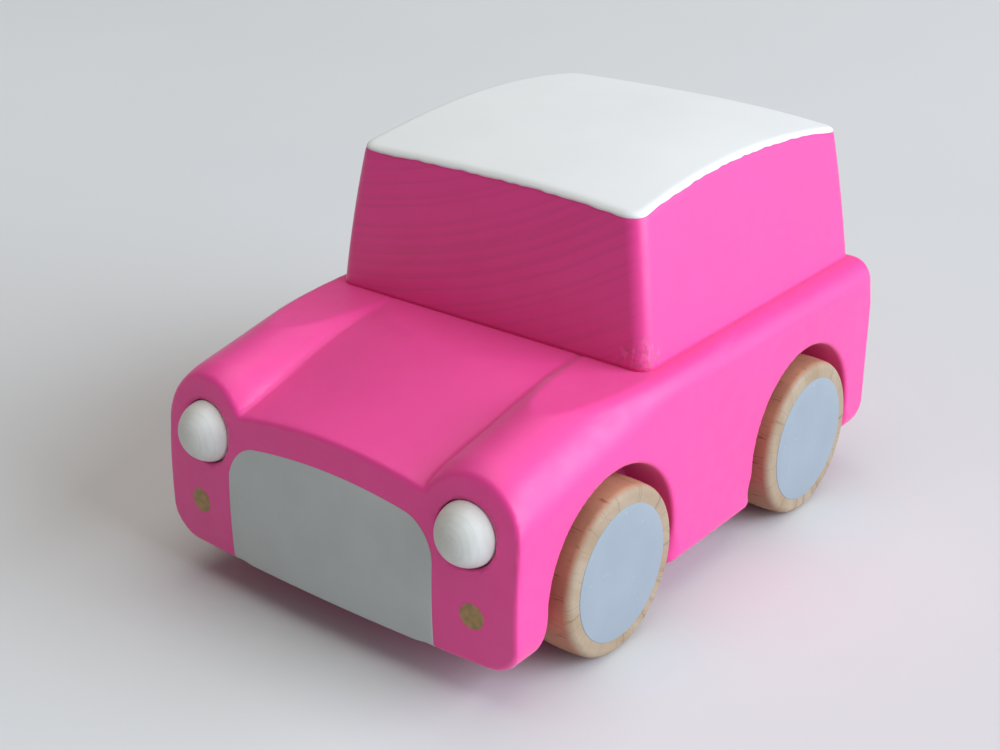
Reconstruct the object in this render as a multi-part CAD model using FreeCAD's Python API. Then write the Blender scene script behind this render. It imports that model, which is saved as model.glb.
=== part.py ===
import FreeCAD, Part
import math
import os

# A wooden pull back car. +X is the front, +Y is the car's left and +Z is up. The origin is on
# the ground, under the middle of the car. Millimetres.

V = FreeCAD.Vector
ALONG_X, ALONG_Y, ALONG_Z = V(1, 0, 0), V(0, 1, 0), V(0, 0, 1)
LEFT, RIGHT = 1, -1

# How far blanks and cutting tools run past what they cut.
BEYOND = 5.0

# lower body
HALF_WIDTH = 32.5
UNDERSIDE_Z = 6.0
SHOULDER_Z = 36.9
FRONT_X, REAR_X = 47.3, -49.9
FRONT_BULGE_R = 400.0
FRONT_CROWN_R = 107.0
FRONT_FULLEST_Z = 18.0
FRONT_LEAN = 0.04
SHOULDER_EDGE_R = 4.0
BOTTOM_EDGE_R = 1.8
SIDE_VIEW = (  # x, z and corner radius, from the rear lower corner forward
    (REAR_X, UNDERSIDE_Z, 5.5), (FRONT_X + BEYOND, UNDERSIDE_Z, 0),
    (FRONT_X + BEYOND, SHOULDER_Z, 0), (REAR_X, SHOULDER_Z, 2.5),
)

# hood: two long fenders with a lower arched panel between them
FENDER_R = 8.45
FENDER_Y = HALF_WIDTH - FENDER_R
FENDER_AXIS_Z = 25.2
FENDER_SLOPE = 0.2
PANEL_HALF_WIDTH = 19.0
PANEL_SECTIONS = (  # x, height on the middle line, and radius of the arch across
    (53.0, 30.0, 62.0), (46.0, 31.4, 77.0), (38.6, 32.9, 120.0), (30.4, 35.0, 135.0),
    (21.7, 36.9, 135.0), (12.0, 38.3, 135.0), (2.0, 39.0, 135.0),
)

# cabin and its painted roof
CABIN_REAR_X = -47.9
CABIN_LEVELS = (  # height, front x and half width
    (SHOULDER_Z, 12.4, 28.8),
    (47.0, 11.1, 26.9),
    (58.3, 9.2, 24.3),
    (64.0, 8.1, 22.9),
)
CABIN_CORNER_R = 2.8
ROOF_TOP_Z = 61.4
ROOF_MIDDLE_X = -18.0
ROOF_LENGTHWISE_R = 165.0
ROOF_CROSSWISE_R = 240.0
ROOF_PAINT_Z = 58.3
PAINT = 0.15

# wheels and axles
WHEEL_R = 12.75
WHEEL_WIDTH = 8.2
WHEEL_OUTER_Y = 33.8
WHEEL_EDGE_R = 1.5
WHEEL_DISC_R = 10.1
AXLE_R = 1.5
AXLE_HALF_LENGTH = 30.6
FRONT_AXLE_X, REAR_AXLE_X = 24.1, -28.1
RUNNING = 0.05
ARCH_R = 14.9
ARCH_RISE = 0.3
ARCH_FLOOR_Y = 24.6
BUSH_R, BUSH_LENGTH = 2.5, 6.0
FLANGE_R, FLANGE_THICKNESS = 3.6, 0.6
AXLE_BORE_R = 2.0

# front face
LAMP_Z = 25.2
LAMP_SOCKET_R, LAMP_R = 4.75, 4.6
LAMP_ROOT_X, LAMP_RIM_X, LAMP_TIP_X = 39.2, 45.8, 49.9
DOT_Y, DOT_Z, DOT_R = 25.5, 13.8, 1.9
GRILLE_HALF_WIDTH = 19.0
GRILLE_LOW_Z = 7.9
GRILLE_SIDE_Z = 24.75
GRILLE_TOP_Z = 27.3
GRILLE_CORNER_R = 5.0
GRILLE_PEAK_R = 60.0

# dowels between the two blocks of wood
DOWEL_R = 3.0
DOWEL_DEPTH = 8.0
DOWEL_X = (-38.0, 4.0)

# pull back motor: gear centres in the X-Z plane
MODULE = 0.5
PRESSURE_ANGLE = math.radians(25)
ADDENDUM, DEDENDUM = 0.9 * MODULE, 1.15 * MODULE
BACKLASH = 0.12
AXLE_TEETH, CLUTCH_TEETH, WHEEL_TEETH, PINION_TEETH, SPRING_TEETH = 12, 10, 24, 10, 30
CLUTCH_ANGLE, IDLER_ANGLE, SPRING_ANGLE = math.radians(60), math.radians(-10), 0.0

CASE_X = (-33.8, 4.0)
CASE_Z = (6.3, 25.6)
CASE_Y = (-9.0, 9.0)
CASE_WALL = 1.2
CASE_CORNER_R = 2.0
PLATE_Y = (-1.4, -0.4)
CHAMBER_R = 7.8
ARBOR_R = 2.2
STUB_R = 0.9
EAR_LENGTH, EAR_Y, EAR_Z = 5.0, (0.5, 7.5), (7.6, 9.2)
CASE_SCREWS = ((-31.3, 23.1), (-22.0, 8.9), (1.5, 23.1), (1.5, 8.8))
CASE_SCREW_R, CASE_SCREW_HEAD_R, CASE_SCREW_HEAD = 0.9, 1.6, 0.8
CASE_SCREW_GRIP = 5.0
CASE_SCREW_RECESS_R, CASE_SCREW_RECESS = 0.7, 0.5
CASE_SCREW_GAP = 0.1
BOSS_R = 1.7
MOUNT_SCREW_R, MOUNT_SCREW_HEAD_R, MOUNT_SCREW_HEAD = 1.3, 2.3, 1.4
MOUNT_SCREW_LENGTH = 9.0
MOUNT_SCREW_CROSS = (2.4, 0.5, 0.8)
POCKET_GAP = 0.5
END_GAP = 0.2
BLIND_WALL = 0.9
CLUTCH_TRAVEL = 1.0
ARBOR_SLOT = 0.7

SPRING_TURNS = 6
SPRING_STRIP = 0.25
SPRING_R = (2.9, 7.3)
SPRING_Y = (0.2, 6.8)
SPRING_HOOK_X = 1.3
SPRING_ANCHOR = 0.9


# ---- outlines and simple solids ----

def in_side_view(x, z):
    return V(x, 0, z)


def in_front_view(y, z):
    return V(0, y, z)


def in_plan(x, y):
    return V(x, y, 0)


def rounded_outline(corners, place):
    """A closed wire through corners (a, b, radius), with a tangent arc at each radius above 0."""
    points = [place(a, b) for a, b, _ in corners]
    edges = []
    ends = []
    for i, (corner, (_, _, radius)) in enumerate(zip(points, corners)):
        back = (points[i - 1] - corner).normalize()
        ahead = (points[(i + 1) % len(points)] - corner).normalize()
        if not radius:
            ends.append((corner, corner, None))
            continue
        half = back.getAngle(ahead) / 2
        reach = radius / math.tan(half)
        middle = corner + (back + ahead).normalize() * (radius / math.sin(half) - radius)
        ends.append((corner + back * reach, corner + ahead * reach, middle))
    for i, (start, end, middle) in enumerate(ends):
        if middle is not None:
            edges.append(Part.Arc(start, middle, end).toShape())
        following = ends[(i + 1) % len(ends)][0]
        edges.append(Part.LineSegment(end, following).toShape())
    return Part.Wire(edges)


def prism(wire, start, travel):
    """Extrude a closed wire, moved by start, along travel."""
    face = Part.Face(wire)
    face.translate(start)
    return face.extrude(travel)


def block(x, y, z):
    return Part.makeBox(x[1] - x[0], y[1] - y[0], z[1] - z[0], V(x[0], y[0], z[0]))


def rod_y(radius, x, z, y):
    """A cylinder along Y between the two values in y."""
    return Part.makeCylinder(radius, y[1] - y[0], V(x, y[0], z), ALONG_Y)


def span(a, b):
    return (min(a, b), max(a, b))


# ---- lower body ----

def front_face_x(z):
    """The front face's X on the car's middle line."""
    rise = z - FRONT_FULLEST_Z
    return FRONT_X - FRONT_LEAN * rise - rise * rise / (2 * FRONT_CROWN_R)


def behind_front_face(grow=0.0):
    """Everything behind the front face, which is curved both ways, moved forward by grow."""
    levels = (0, FRONT_FULLEST_Z, SHOULDER_Z + BEYOND)
    low, middle, high = (V(front_face_x(z) + grow, 0, z) for z in levels)
    back = REAR_X - BEYOND
    edges = [
        Part.Arc(low, middle, high).toShape(),
        Part.LineSegment(high, V(back, 0, high.z)).toShape(),
        Part.LineSegment(V(back, 0, high.z), V(back, 0, low.z)).toShape(),
        Part.LineSegment(V(back, 0, low.z), low).toShape(),
    ]
    face = Part.Face(Part.Wire(edges))
    centre = V(FRONT_X - FRONT_BULGE_R, 0, 0)
    half_swing = math.degrees(math.asin((HALF_WIDTH + BEYOND) / (back - centre.x)))
    face.rotate(centre, ALONG_Z, -half_swing)
    return face.revolve(centre, ALONG_Z, 2 * half_swing)


def fender_sweep(side):
    """A fender: a round-topped section that rises towards the cabin."""
    axis_z = FENDER_AXIS_Z - FENDER_SLOPE * BEYOND
    inner, outer = FENDER_Y - FENDER_R, FENDER_Y + FENDER_R
    length = FRONT_X - REAR_X + 2 * BEYOND
    low = -length * FENDER_SLOPE - BEYOND
    edges = [
        Part.LineSegment(V(0, inner, low), V(0, inner, axis_z)).toShape(),
        Part.Arc(V(0, inner, axis_z), V(0, FENDER_Y, axis_z + FENDER_R), V(0, outer, axis_z)).toShape(),
        Part.LineSegment(V(0, outer, axis_z), V(0, outer, low)).toShape(),
        Part.LineSegment(V(0, outer, low), V(0, inner, low)).toShape(),
    ]
    fender = prism(Part.Wire(edges), V(FRONT_X + BEYOND, 0, 0), V(-length, 0, length * FENDER_SLOPE))
    return fender if side == LEFT else fender.mirror(V(0, 0, 0), ALONG_Y)


def hood_panel():
    """The arched panel between the fenders, which falls and curves more towards the front."""
    wires = []
    for x, top, radius in PANEL_SECTIONS:
        edge_z = top - PANEL_HALF_WIDTH ** 2 / (2 * radius)
        left, right = V(x, PANEL_HALF_WIDTH, edge_z), V(x, -PANEL_HALF_WIDTH, edge_z)
        low_left, low_right = V(x, left.y, -BEYOND), V(x, right.y, -BEYOND)
        wires.append(Part.Wire([
            Part.Arc(left, V(x, 0, top), right).toShape(),
            Part.LineSegment(right, low_right).toShape(),
            Part.LineSegment(low_right, low_left).toShape(),
            Part.LineSegment(low_left, left).toShape(),
        ]))
    hood = Part.makeLoft(wires, True, False)
    under_cabin = (REAR_X - BEYOND, PANEL_SECTIONS[-1][0] + BEYOND)
    across = (-PANEL_HALF_WIDTH, PANEL_HALF_WIDTH)
    return hood.fuse(block(under_cabin, across, (-BEYOND, SHOULDER_Z + BEYOND)))


def side_silhouette():
    outline = rounded_outline(SIDE_VIEW, in_side_view)
    return prism(outline, V(0, -HALF_WIDTH, 0), V(0, 2 * HALF_WIDTH, 0))


def cross_section():
    corners = (
        (-HALF_WIDTH, UNDERSIDE_Z, BOTTOM_EDGE_R), (HALF_WIDTH, UNDERSIDE_Z, BOTTOM_EDGE_R),
        (HALF_WIDTH, SHOULDER_Z, SHOULDER_EDGE_R), (-HALF_WIDTH, SHOULDER_Z, SHOULDER_EDGE_R),
    )
    length = FRONT_X - REAR_X + 2 * BEYOND
    return prism(rounded_outline(corners, in_front_view), V(REAR_X - BEYOND, 0, 0), V(length, 0, 0))


def motor_pocket():
    """The pocket under the body: a deep part for the motor and a shallow one for its ears."""
    half = CASE_Y[1] + POCKET_GAP
    across = (-half, half)
    deep = block((CASE_X[0] - POCKET_GAP, CASE_X[1] + POCKET_GAP), across, (0, CASE_Z[1] + POCKET_GAP))
    ear_reach = EAR_LENGTH + POCKET_GAP
    shallow = block((CASE_X[0] - ear_reach, CASE_X[1] + ear_reach), across, (0, EAR_Z[1]))
    return deep.fuse(shallow)


def rear_axle_slot():
    """The slot that the rear axle drops into with the motor, open to the underside."""
    half = AXLE_R + POCKET_GAP
    across = (-ARCH_FLOOR_Y - BEYOND, ARCH_FLOOR_Y + BEYOND)
    channel = block((REAR_AXLE_X - half, REAR_AXLE_X + half), across, (0, WHEEL_R))
    return channel.fuse(rod_y(half, REAR_AXLE_X, WHEEL_R, across))


def ear_positions():
    middle_y = sum(EAR_Y) / 2
    return [
        V(CASE_X[0] - EAR_LENGTH / 2, middle_y, EAR_Z[0]),
        V(CASE_X[1] + EAR_LENGTH / 2, middle_y, EAR_Z[0]),
    ]


def lower_body():
    hood = fender_sweep(LEFT).fuse([fender_sweep(RIGHT), hood_panel()])
    body = side_silhouette().common(cross_section()).common(behind_front_face())
    body = body.common(hood)
    hollows = [motor_pocket(), rear_axle_slot()]
    hollows.append(rod_y(AXLE_BORE_R, FRONT_AXLE_X, WHEEL_R, (-HALF_WIDTH, HALF_WIDTH)))
    for side in (LEFT, RIGHT):
        arch = span(side * ARCH_FLOOR_Y, side * (HALF_WIDTH + BEYOND))
        for x in (FRONT_AXLE_X, REAR_AXLE_X):
            hollows.append(rod_y(ARCH_R, x, WHEEL_R + ARCH_RISE, arch))
        bush_seat = span(side * (ARCH_FLOOR_Y - BUSH_LENGTH), side * ARCH_FLOOR_Y)
        hollows.append(rod_y(BUSH_R, FRONT_AXLE_X, WHEEL_R, bush_seat))
        root = V(LAMP_ROOT_X, side * FENDER_Y, LAMP_Z)
        depth = FRONT_X + BEYOND - LAMP_ROOT_X
        hollows.append(Part.makeCylinder(LAMP_SOCKET_R, depth, root, ALONG_X))
    for x in DOWEL_X:
        hollows.append(Part.makeCylinder(DOWEL_R, DOWEL_DEPTH + BEYOND, V(x, 0, SHOULDER_Z - DOWEL_DEPTH)))
    for ear in ear_positions():
        hollows.append(Part.makeCylinder(MOUNT_SCREW_R, MOUNT_SCREW_LENGTH, ear))
    return body.cut(hollows)


# ---- cabin, roof paint, dowels ----

def cabin_outer(grow):
    """The cabin, moved outward by grow: an upright rear wall, three leaning ones and a crowned roof."""
    wires = []
    rear = CABIN_REAR_X - grow
    for z, front, half in CABIN_LEVELS:
        corners = [
            (front + grow, half + grow, CABIN_CORNER_R), (rear, half + grow, CABIN_CORNER_R),
            (rear, -half - grow, CABIN_CORNER_R), (front + grow, -half - grow, CABIN_CORNER_R),
        ]
        wire = rounded_outline(corners, in_plan)
        wire.translate(V(0, 0, z))
        wires.append(wire)
    return Part.makeLoft(wires, True, False).common(under_roof(grow))


def under_roof(grow):
    """Everything under the roof's surface, which is crowned both ways."""
    top = ROOF_TOP_Z + grow
    half = (FRONT_X - REAR_X) / 2
    drop = half ** 2 / (2 * ROOF_LENGTHWISE_R)
    low = SHOULDER_Z - BEYOND
    rear, front = ROOF_MIDDLE_X - half, ROOF_MIDDLE_X + half
    edges = [
        Part.Arc(V(rear, 0, top - drop), V(ROOF_MIDDLE_X, 0, top), V(front, 0, top - drop)).toShape(),
        Part.LineSegment(V(front, 0, top - drop), V(front, 0, low)).toShape(),
        Part.LineSegment(V(front, 0, low), V(rear, 0, low)).toShape(),
        Part.LineSegment(V(rear, 0, low), V(rear, 0, top - drop)).toShape(),
    ]
    face = Part.Face(Part.Wire(edges))
    centre = V(0, 0, top - ROOF_CROSSWISE_R)
    half_swing = math.degrees(math.asin((HALF_WIDTH + BEYOND) / (low - centre.z)))
    face.rotate(centre, ALONG_X, -half_swing)
    return face.revolve(centre, ALONG_X, 2 * half_swing)


def cabin_block():
    cabin = cabin_outer(0)
    for x in DOWEL_X:
        cabin = cabin.cut(Part.makeCylinder(DOWEL_R, DOWEL_DEPTH, V(x, 0, SHOULDER_Z)))
    return cabin


def roof_paint():
    x, y = (REAR_X, FRONT_X), (-HALF_WIDTH, HALF_WIDTH)
    above = block(x, y, (ROOF_PAINT_Z, ROOF_TOP_Z + BEYOND))
    return cabin_outer(PAINT).common(above).cut(cabin_outer(0))


def cabin_dowels():
    length = 2 * (DOWEL_DEPTH - END_GAP)
    base = SHOULDER_Z - DOWEL_DEPTH + END_GAP
    return [Part.makeCylinder(DOWEL_R, length, V(x, 0, base)) for x in DOWEL_X]


# ---- front face ----

def headlight(side):
    """A turned spherical dome on a plain tenon, glued into its socket."""
    centre = V(0, side * FENDER_Y, LAMP_Z)
    rise = LAMP_TIP_X - LAMP_RIM_X
    dome_r = (LAMP_R ** 2 + rise ** 2) / (2 * rise)
    half_angle = math.asin(LAMP_R / dome_r) / 2
    root, tip = centre + V(LAMP_ROOT_X, 0, 0), centre + V(LAMP_TIP_X, 0, 0)
    shoulder, rim = root + V(0, 0, LAMP_R), centre + V(LAMP_RIM_X, 0, LAMP_R)
    middle = tip + V(dome_r * (math.cos(half_angle) - 1), 0, dome_r * math.sin(half_angle))
    edges = [
        Part.LineSegment(root, shoulder).toShape(),
        Part.LineSegment(shoulder, rim).toShape(),
        Part.Arc(rim, middle, tip).toShape(),
        Part.LineSegment(tip, root).toShape(),
    ]
    return Part.Face(Part.Wire(edges)).revolve(centre, ALONG_X, 360)


def front_print(outline_solid):
    """A film of paint on the front face, inside the given outline."""
    return behind_front_face(PAINT).cut(behind_front_face()).common(outline_solid)


def grille_print():
    corners = (
        (-GRILLE_HALF_WIDTH, GRILLE_LOW_Z, 0), (GRILLE_HALF_WIDTH, GRILLE_LOW_Z, 0),
        (GRILLE_HALF_WIDTH, GRILLE_SIDE_Z, GRILLE_CORNER_R), (0, GRILLE_TOP_Z, GRILLE_PEAK_R),
        (-GRILLE_HALF_WIDTH, GRILLE_SIDE_Z, GRILLE_CORNER_R),
    )
    outline = rounded_outline(corners, in_front_view)
    return front_print(prism(outline, V(LAMP_ROOT_X, 0, 0), V(2 * BEYOND, 0, 0)))


def lamp_dots():
    dots = []
    for side in (LEFT, RIGHT):
        dot = Part.makeCylinder(DOT_R, 2 * BEYOND, V(LAMP_ROOT_X, side * DOT_Y, DOT_Z), ALONG_X)
        dots.append(front_print(dot))
    return dots


# ---- wheels and axles ----

def wheel(x, side):
    """A plain turned wheel with rounded rims and a blind bore on its inner face."""
    outer = WHEEL_OUTER_Y
    inner = WHEEL_OUTER_Y - WHEEL_WIDTH
    disc = rod_y(WHEEL_R, x, WHEEL_R, span(side * inner, side * outer))
    rims = [edge for edge in disc.Edges if isinstance(edge.Curve, Part.Circle)]
    disc = disc.makeFillet(WHEEL_EDGE_R, rims)
    bore = rod_y(AXLE_R, x, WHEEL_R, span(side * (inner - BEYOND), side * AXLE_HALF_LENGTH))
    return disc.cut(bore)


def wheel_print(x, side):
    return rod_y(WHEEL_DISC_R, x, WHEEL_R, span(side * WHEEL_OUTER_Y, side * (WHEEL_OUTER_Y + PAINT)))


def axle(x):
    return rod_y(AXLE_R, x, WHEEL_R, (-AXLE_HALF_LENGTH, AXLE_HALF_LENGTH))


def front_bush(side):
    """A flanged nylon bush in the body's cross bore."""
    sleeve = span(side * (ARCH_FLOOR_Y - BUSH_LENGTH), side * ARCH_FLOOR_Y)
    flange = span(side * ARCH_FLOOR_Y, side * (ARCH_FLOOR_Y + FLANGE_THICKNESS))
    bush = rod_y(BUSH_R, FRONT_AXLE_X, WHEEL_R, sleeve)
    bush = bush.fuse(rod_y(FLANGE_R, FRONT_AXLE_X, WHEEL_R, flange))
    return bush.cut(rod_y(AXLE_R + RUNNING, FRONT_AXLE_X, WHEEL_R, (-HALF_WIDTH, HALF_WIDTH)))


# ---- gears ----

def pitch_radius(teeth):
    return MODULE * teeth / 2


def beside(centre, teeth, other_teeth, angle):
    """The centre of a gear that meshes with the one at centre, at this angle in the side view."""
    distance = pitch_radius(teeth) + pitch_radius(other_teeth)
    return (centre[0] + distance * math.cos(angle), centre[1] + distance * math.sin(angle))


def meshed_phase(phase, teeth, other_teeth, angle):
    """The first tooth's angle on a gear that meshes with a gear whose first tooth is at phase."""
    share = (angle - phase) * teeth / (2 * math.pi)
    return angle + math.pi - (0.5 - share) * 2 * math.pi / other_teeth


def half_tooth_angle(radius, teeth):
    """Half the angle that a tooth fills at this radius."""
    def involute(angle):
        return math.tan(angle) - angle
    pitch = pitch_radius(teeth)
    base = pitch * math.cos(PRESSURE_ANGLE)
    at_pitch = (math.pi * MODULE / 2 - BACKLASH / 2) / (2 * pitch)
    return at_pitch + involute(PRESSURE_ANGLE) - involute(math.acos(min(1.0, base / radius)))


def gear_wire(teeth, phase):
    """A spur gear's outline in the X-Z plane, with involute flanks as arcs."""
    pitch = pitch_radius(teeth)
    base = pitch * math.cos(PRESSURE_ANGLE)
    root, tip = pitch - DEDENDUM, pitch + ADDENDUM
    foot = max(base, root)

    def polar(radius, angle):
        return V(radius * math.cos(angle), 0, radius * math.sin(angle))

    edges = []
    step = 2 * math.pi / teeth
    radii = (foot, (foot + tip) / 2, tip)
    for tooth in range(teeth):
        middle = phase + tooth * step
        rising = [polar(r, middle - half_tooth_angle(r, teeth)) for r in radii]
        falling = [polar(r, middle + half_tooth_angle(r, teeth)) for r in reversed(radii)]
        foot_angle = half_tooth_angle(foot, teeth)
        root_start, root_end = polar(root, middle - foot_angle), polar(root, middle + foot_angle)
        next_root = polar(root, middle + step - foot_angle)
        if base > root:
            edges.append(Part.LineSegment(root_start, rising[0]).toShape())
        edges.append(Part.Arc(*rising).toShape())
        edges.append(Part.Arc(rising[2], polar(tip, middle), falling[0]).toShape())
        edges.append(Part.Arc(*falling).toShape())
        if base > root:
            edges.append(Part.LineSegment(falling[2], root_end).toShape())
        edges.append(Part.Arc(root_end, polar(root, middle + step / 2), next_root).toShape())
    return Part.Wire(edges)


def gear(teeth, phase, centre, y):
    return prism(gear_wire(teeth, phase), V(centre[0], y[0], centre[1]), V(0, y[1] - y[0], 0))


AXLE_AT = (REAR_AXLE_X, WHEEL_R)
CLUTCH_AT = beside(AXLE_AT, AXLE_TEETH, CLUTCH_TEETH, CLUTCH_ANGLE)
IDLER_AT = beside(CLUTCH_AT, CLUTCH_TEETH, WHEEL_TEETH, IDLER_ANGLE)
SPRING_AT = beside(IDLER_AT, PINION_TEETH, SPRING_TEETH, SPRING_ANGLE)

AXLE_PHASE = 0.0
CLUTCH_PHASE = meshed_phase(AXLE_PHASE, AXLE_TEETH, CLUTCH_TEETH, CLUTCH_ANGLE)
IDLER_PHASE = meshed_phase(CLUTCH_PHASE, CLUTCH_TEETH, WHEEL_TEETH, IDLER_ANGLE)
SPRING_PHASE = meshed_phase(IDLER_PHASE, PINION_TEETH, SPRING_TEETH, SPRING_ANGLE)

FAST_GEARS_Y = (-7.2, -4.9)
SLOW_GEARS_Y = (-4.4, -2.0)
COVER_INSIDE_Y = CASE_Y[0] + CASE_WALL
CHAMBER_END_Y = CASE_Y[1] - CASE_WALL
PIN_R = 0.75


def axle_gear():
    teeth = gear(AXLE_TEETH, AXLE_PHASE, AXLE_AT, FAST_GEARS_Y)
    hub = rod_y(pitch_radius(AXLE_TEETH) - DEDENDUM, *AXLE_AT, (FAST_GEARS_Y[1], SLOW_GEARS_Y[1]))
    return teeth.fuse(hub).cut(rod_y(AXLE_R, *AXLE_AT, CASE_Y))


def clutch_pinion():
    """The pinion whose short trunnions float in slots in the case."""
    across = (FAST_GEARS_Y[0] + END_GAP, FAST_GEARS_Y[1] - END_GAP)
    teeth = gear(CLUTCH_TEETH, CLUTCH_PHASE, CLUTCH_AT, across)
    return teeth.fuse(rod_y(STUB_R, *CLUTCH_AT, (CASE_Y[0] + END_GAP, PLATE_Y[1] - END_GAP)))


def idler_gear():
    """A large wheel and a small pinion in one piece, on a steel pin."""
    wheel_teeth = gear(WHEEL_TEETH, IDLER_PHASE, IDLER_AT, FAST_GEARS_Y)
    pinion = gear(PINION_TEETH, IDLER_PHASE, IDLER_AT, (FAST_GEARS_Y[1], SLOW_GEARS_Y[1]))
    return wheel_teeth.fuse(pinion).cut(rod_y(PIN_R + RUNNING, *IDLER_AT, CASE_Y))


def idler_pin():
    return rod_y(PIN_R, *IDLER_AT, (CASE_Y[0] + END_GAP, PLATE_Y[1]))


def spring_gear():
    """The gear on the slotted arbor that the mainspring winds on."""
    teeth = gear(SPRING_TEETH, SPRING_PHASE, SPRING_AT, (SLOW_GEARS_Y[0] + END_GAP, SLOW_GEARS_Y[1]))
    arbor = rod_y(ARBOR_R, *SPRING_AT, (SLOW_GEARS_Y[1], CHAMBER_END_Y - END_GAP))
    ends = rod_y(AXLE_R, *SPRING_AT, (CASE_Y[0] + END_GAP, CASE_Y[1] - END_GAP))
    x, z = SPRING_AT
    across = (SPRING_Y[0] - END_GAP, SPRING_Y[1] + END_GAP)
    slot = block((x, x + BEYOND), across, (z - ARBOR_SLOT / 2, z + ARBOR_SLOT / 2))
    return teeth.fuse([arbor, ends]).cut(slot)


def spiral(radius_offset):
    """A curve along the spring's spiral, moved outward by radius_offset, and its two ends."""
    inner, outer = SPRING_R
    samples = SPRING_TURNS * 16
    points = []
    for i in range(samples + 1):
        share = i / samples
        angle = share * SPRING_TURNS * 2 * math.pi
        radius = inner + (outer - inner) * share + radius_offset
        points.append(V(radius * math.cos(angle), 0, radius * math.sin(angle)))
    curve = Part.BSplineCurve()
    curve.interpolate(points)
    return curve.toShape(), points[0], points[-1]


def mainspring():
    """A flat spiral strip, hooked in the arbor's slot and in the case wall."""
    inside, inside_start, inside_end = spiral(0)
    outside, outside_start, outside_end = spiral(SPRING_STRIP)
    first_end = Part.LineSegment(inside_start, outside_start).toShape()
    last_end = Part.LineSegment(outside_end, inside_end).toShape()
    wire = Part.Wire([inside, last_end, outside, first_end])
    x, z = SPRING_AT
    strip = prism(wire, V(x, SPRING_Y[0], z), V(0, SPRING_Y[1] - SPRING_Y[0], 0))
    half = SPRING_STRIP / 2
    inner_hook = block((x + SPRING_HOOK_X, x + SPRING_R[0] + half), SPRING_Y, (z - half, z + half))
    outer_hook = block((x + SPRING_R[1], x + CHAMBER_R + SPRING_ANCHOR), SPRING_Y, (z - half, z + half))
    return strip.fuse([inner_hook, outer_hook])


# ---- motor case ----

def case_outline(y):
    """The motor case's outline between two values of Y."""
    corners = (
        (CASE_X[0], CASE_Z[0], CASE_CORNER_R), (CASE_X[1], CASE_Z[0], CASE_CORNER_R),
        (CASE_X[1], CASE_Z[1], CASE_CORNER_R), (CASE_X[0], CASE_Z[1], CASE_CORNER_R),
    )
    return prism(rounded_outline(corners, in_side_view), V(0, y[0], 0), V(0, y[1] - y[0], 0))


def case_inside(y):
    x = (CASE_X[0] + CASE_WALL, CASE_X[1] - CASE_WALL)
    z = (CASE_Z[0] + CASE_WALL, CASE_Z[1] - CASE_WALL)
    return block(x, y, z)


def bosses(y):
    return [rod_y(BOSS_R, x, z, y) for x, z in CASE_SCREWS]


def clutch_slot(y):
    """The slot that lets the clutch pinion drift out of mesh with the idler gear."""
    half = STUB_R + RUNNING
    start = rod_y(half, *CLUTCH_AT, y)
    end = start.translated(V(-math.cos(IDLER_ANGLE), 0, -math.sin(IDLER_ANGLE)) * CLUTCH_TRAVEL)
    bar = Part.makeBox(CLUTCH_TRAVEL, y[1] - y[0], 2 * half, V(-CLUTCH_TRAVEL, 0, -half))
    bar.rotate(V(0, 0, 0), ALONG_Y, -math.degrees(IDLER_ANGLE))
    bar.translate(V(CLUTCH_AT[0], y[0], CLUTCH_AT[1]))
    return start.fuse([end, bar])


def motor_case_right():
    """The gear side's cover."""
    y = (CASE_Y[0], PLATE_Y[0])
    cover = case_outline(y).cut(case_inside((COVER_INSIDE_Y, PLATE_Y[0])))
    pin_seat = rod_y(PIN_R + BLIND_WALL, *IDLER_AT, (COVER_INSIDE_Y, FAST_GEARS_Y[0] - END_GAP))
    cover = cover.fuse(bosses((COVER_INSIDE_Y, PLATE_Y[0])) + [pin_seat])
    through = (CASE_Y[0] - BEYOND, BEYOND)
    holes = [rod_y(AXLE_R + RUNNING, *centre, through) for centre in (AXLE_AT, SPRING_AT)]
    holes.append(clutch_slot(through))
    holes.append(rod_y(PIN_R, *IDLER_AT, (CASE_Y[0] + END_GAP, PLATE_Y[0])))
    head_seat = (through[0], CASE_Y[0] + CASE_SCREW_HEAD)
    for x, z in CASE_SCREWS:
        holes.append(rod_y(CASE_SCREW_R + CASE_SCREW_GAP, x, z, through))
        holes.append(rod_y(CASE_SCREW_HEAD_R + CASE_SCREW_GAP, x, z, head_seat))
    return cover.cut(holes).common(case_outline(y))


def motor_mid_plate():
    """The plate between the gears and the mainspring."""
    y = (PLATE_Y[0] - BEYOND, PLATE_Y[1] + BEYOND)
    holes = [rod_y(AXLE_R + RUNNING, *AXLE_AT, y), rod_y(ARBOR_R + RUNNING, *SPRING_AT, y)]
    holes.append(clutch_slot(y))
    holes.append(rod_y(PIN_R, *IDLER_AT, y))
    holes += [rod_y(CASE_SCREW_R + CASE_SCREW_GAP, x, z, y) for x, z in CASE_SCREWS]
    return case_outline(PLATE_Y).cut(holes)


def ears():
    """The case's two ears, each with its screw hole."""
    plates = []
    for seat in ear_positions():
        half = EAR_LENGTH / 2
        plate = block((seat.x - half, seat.x + half), EAR_Y, EAR_Z)
        low = seat - V(0, 0, BEYOND)
        plates.append(plate.cut(Part.makeCylinder(MOUNT_SCREW_R + CASE_SCREW_GAP, 2 * BEYOND, low)))
    return plates


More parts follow.
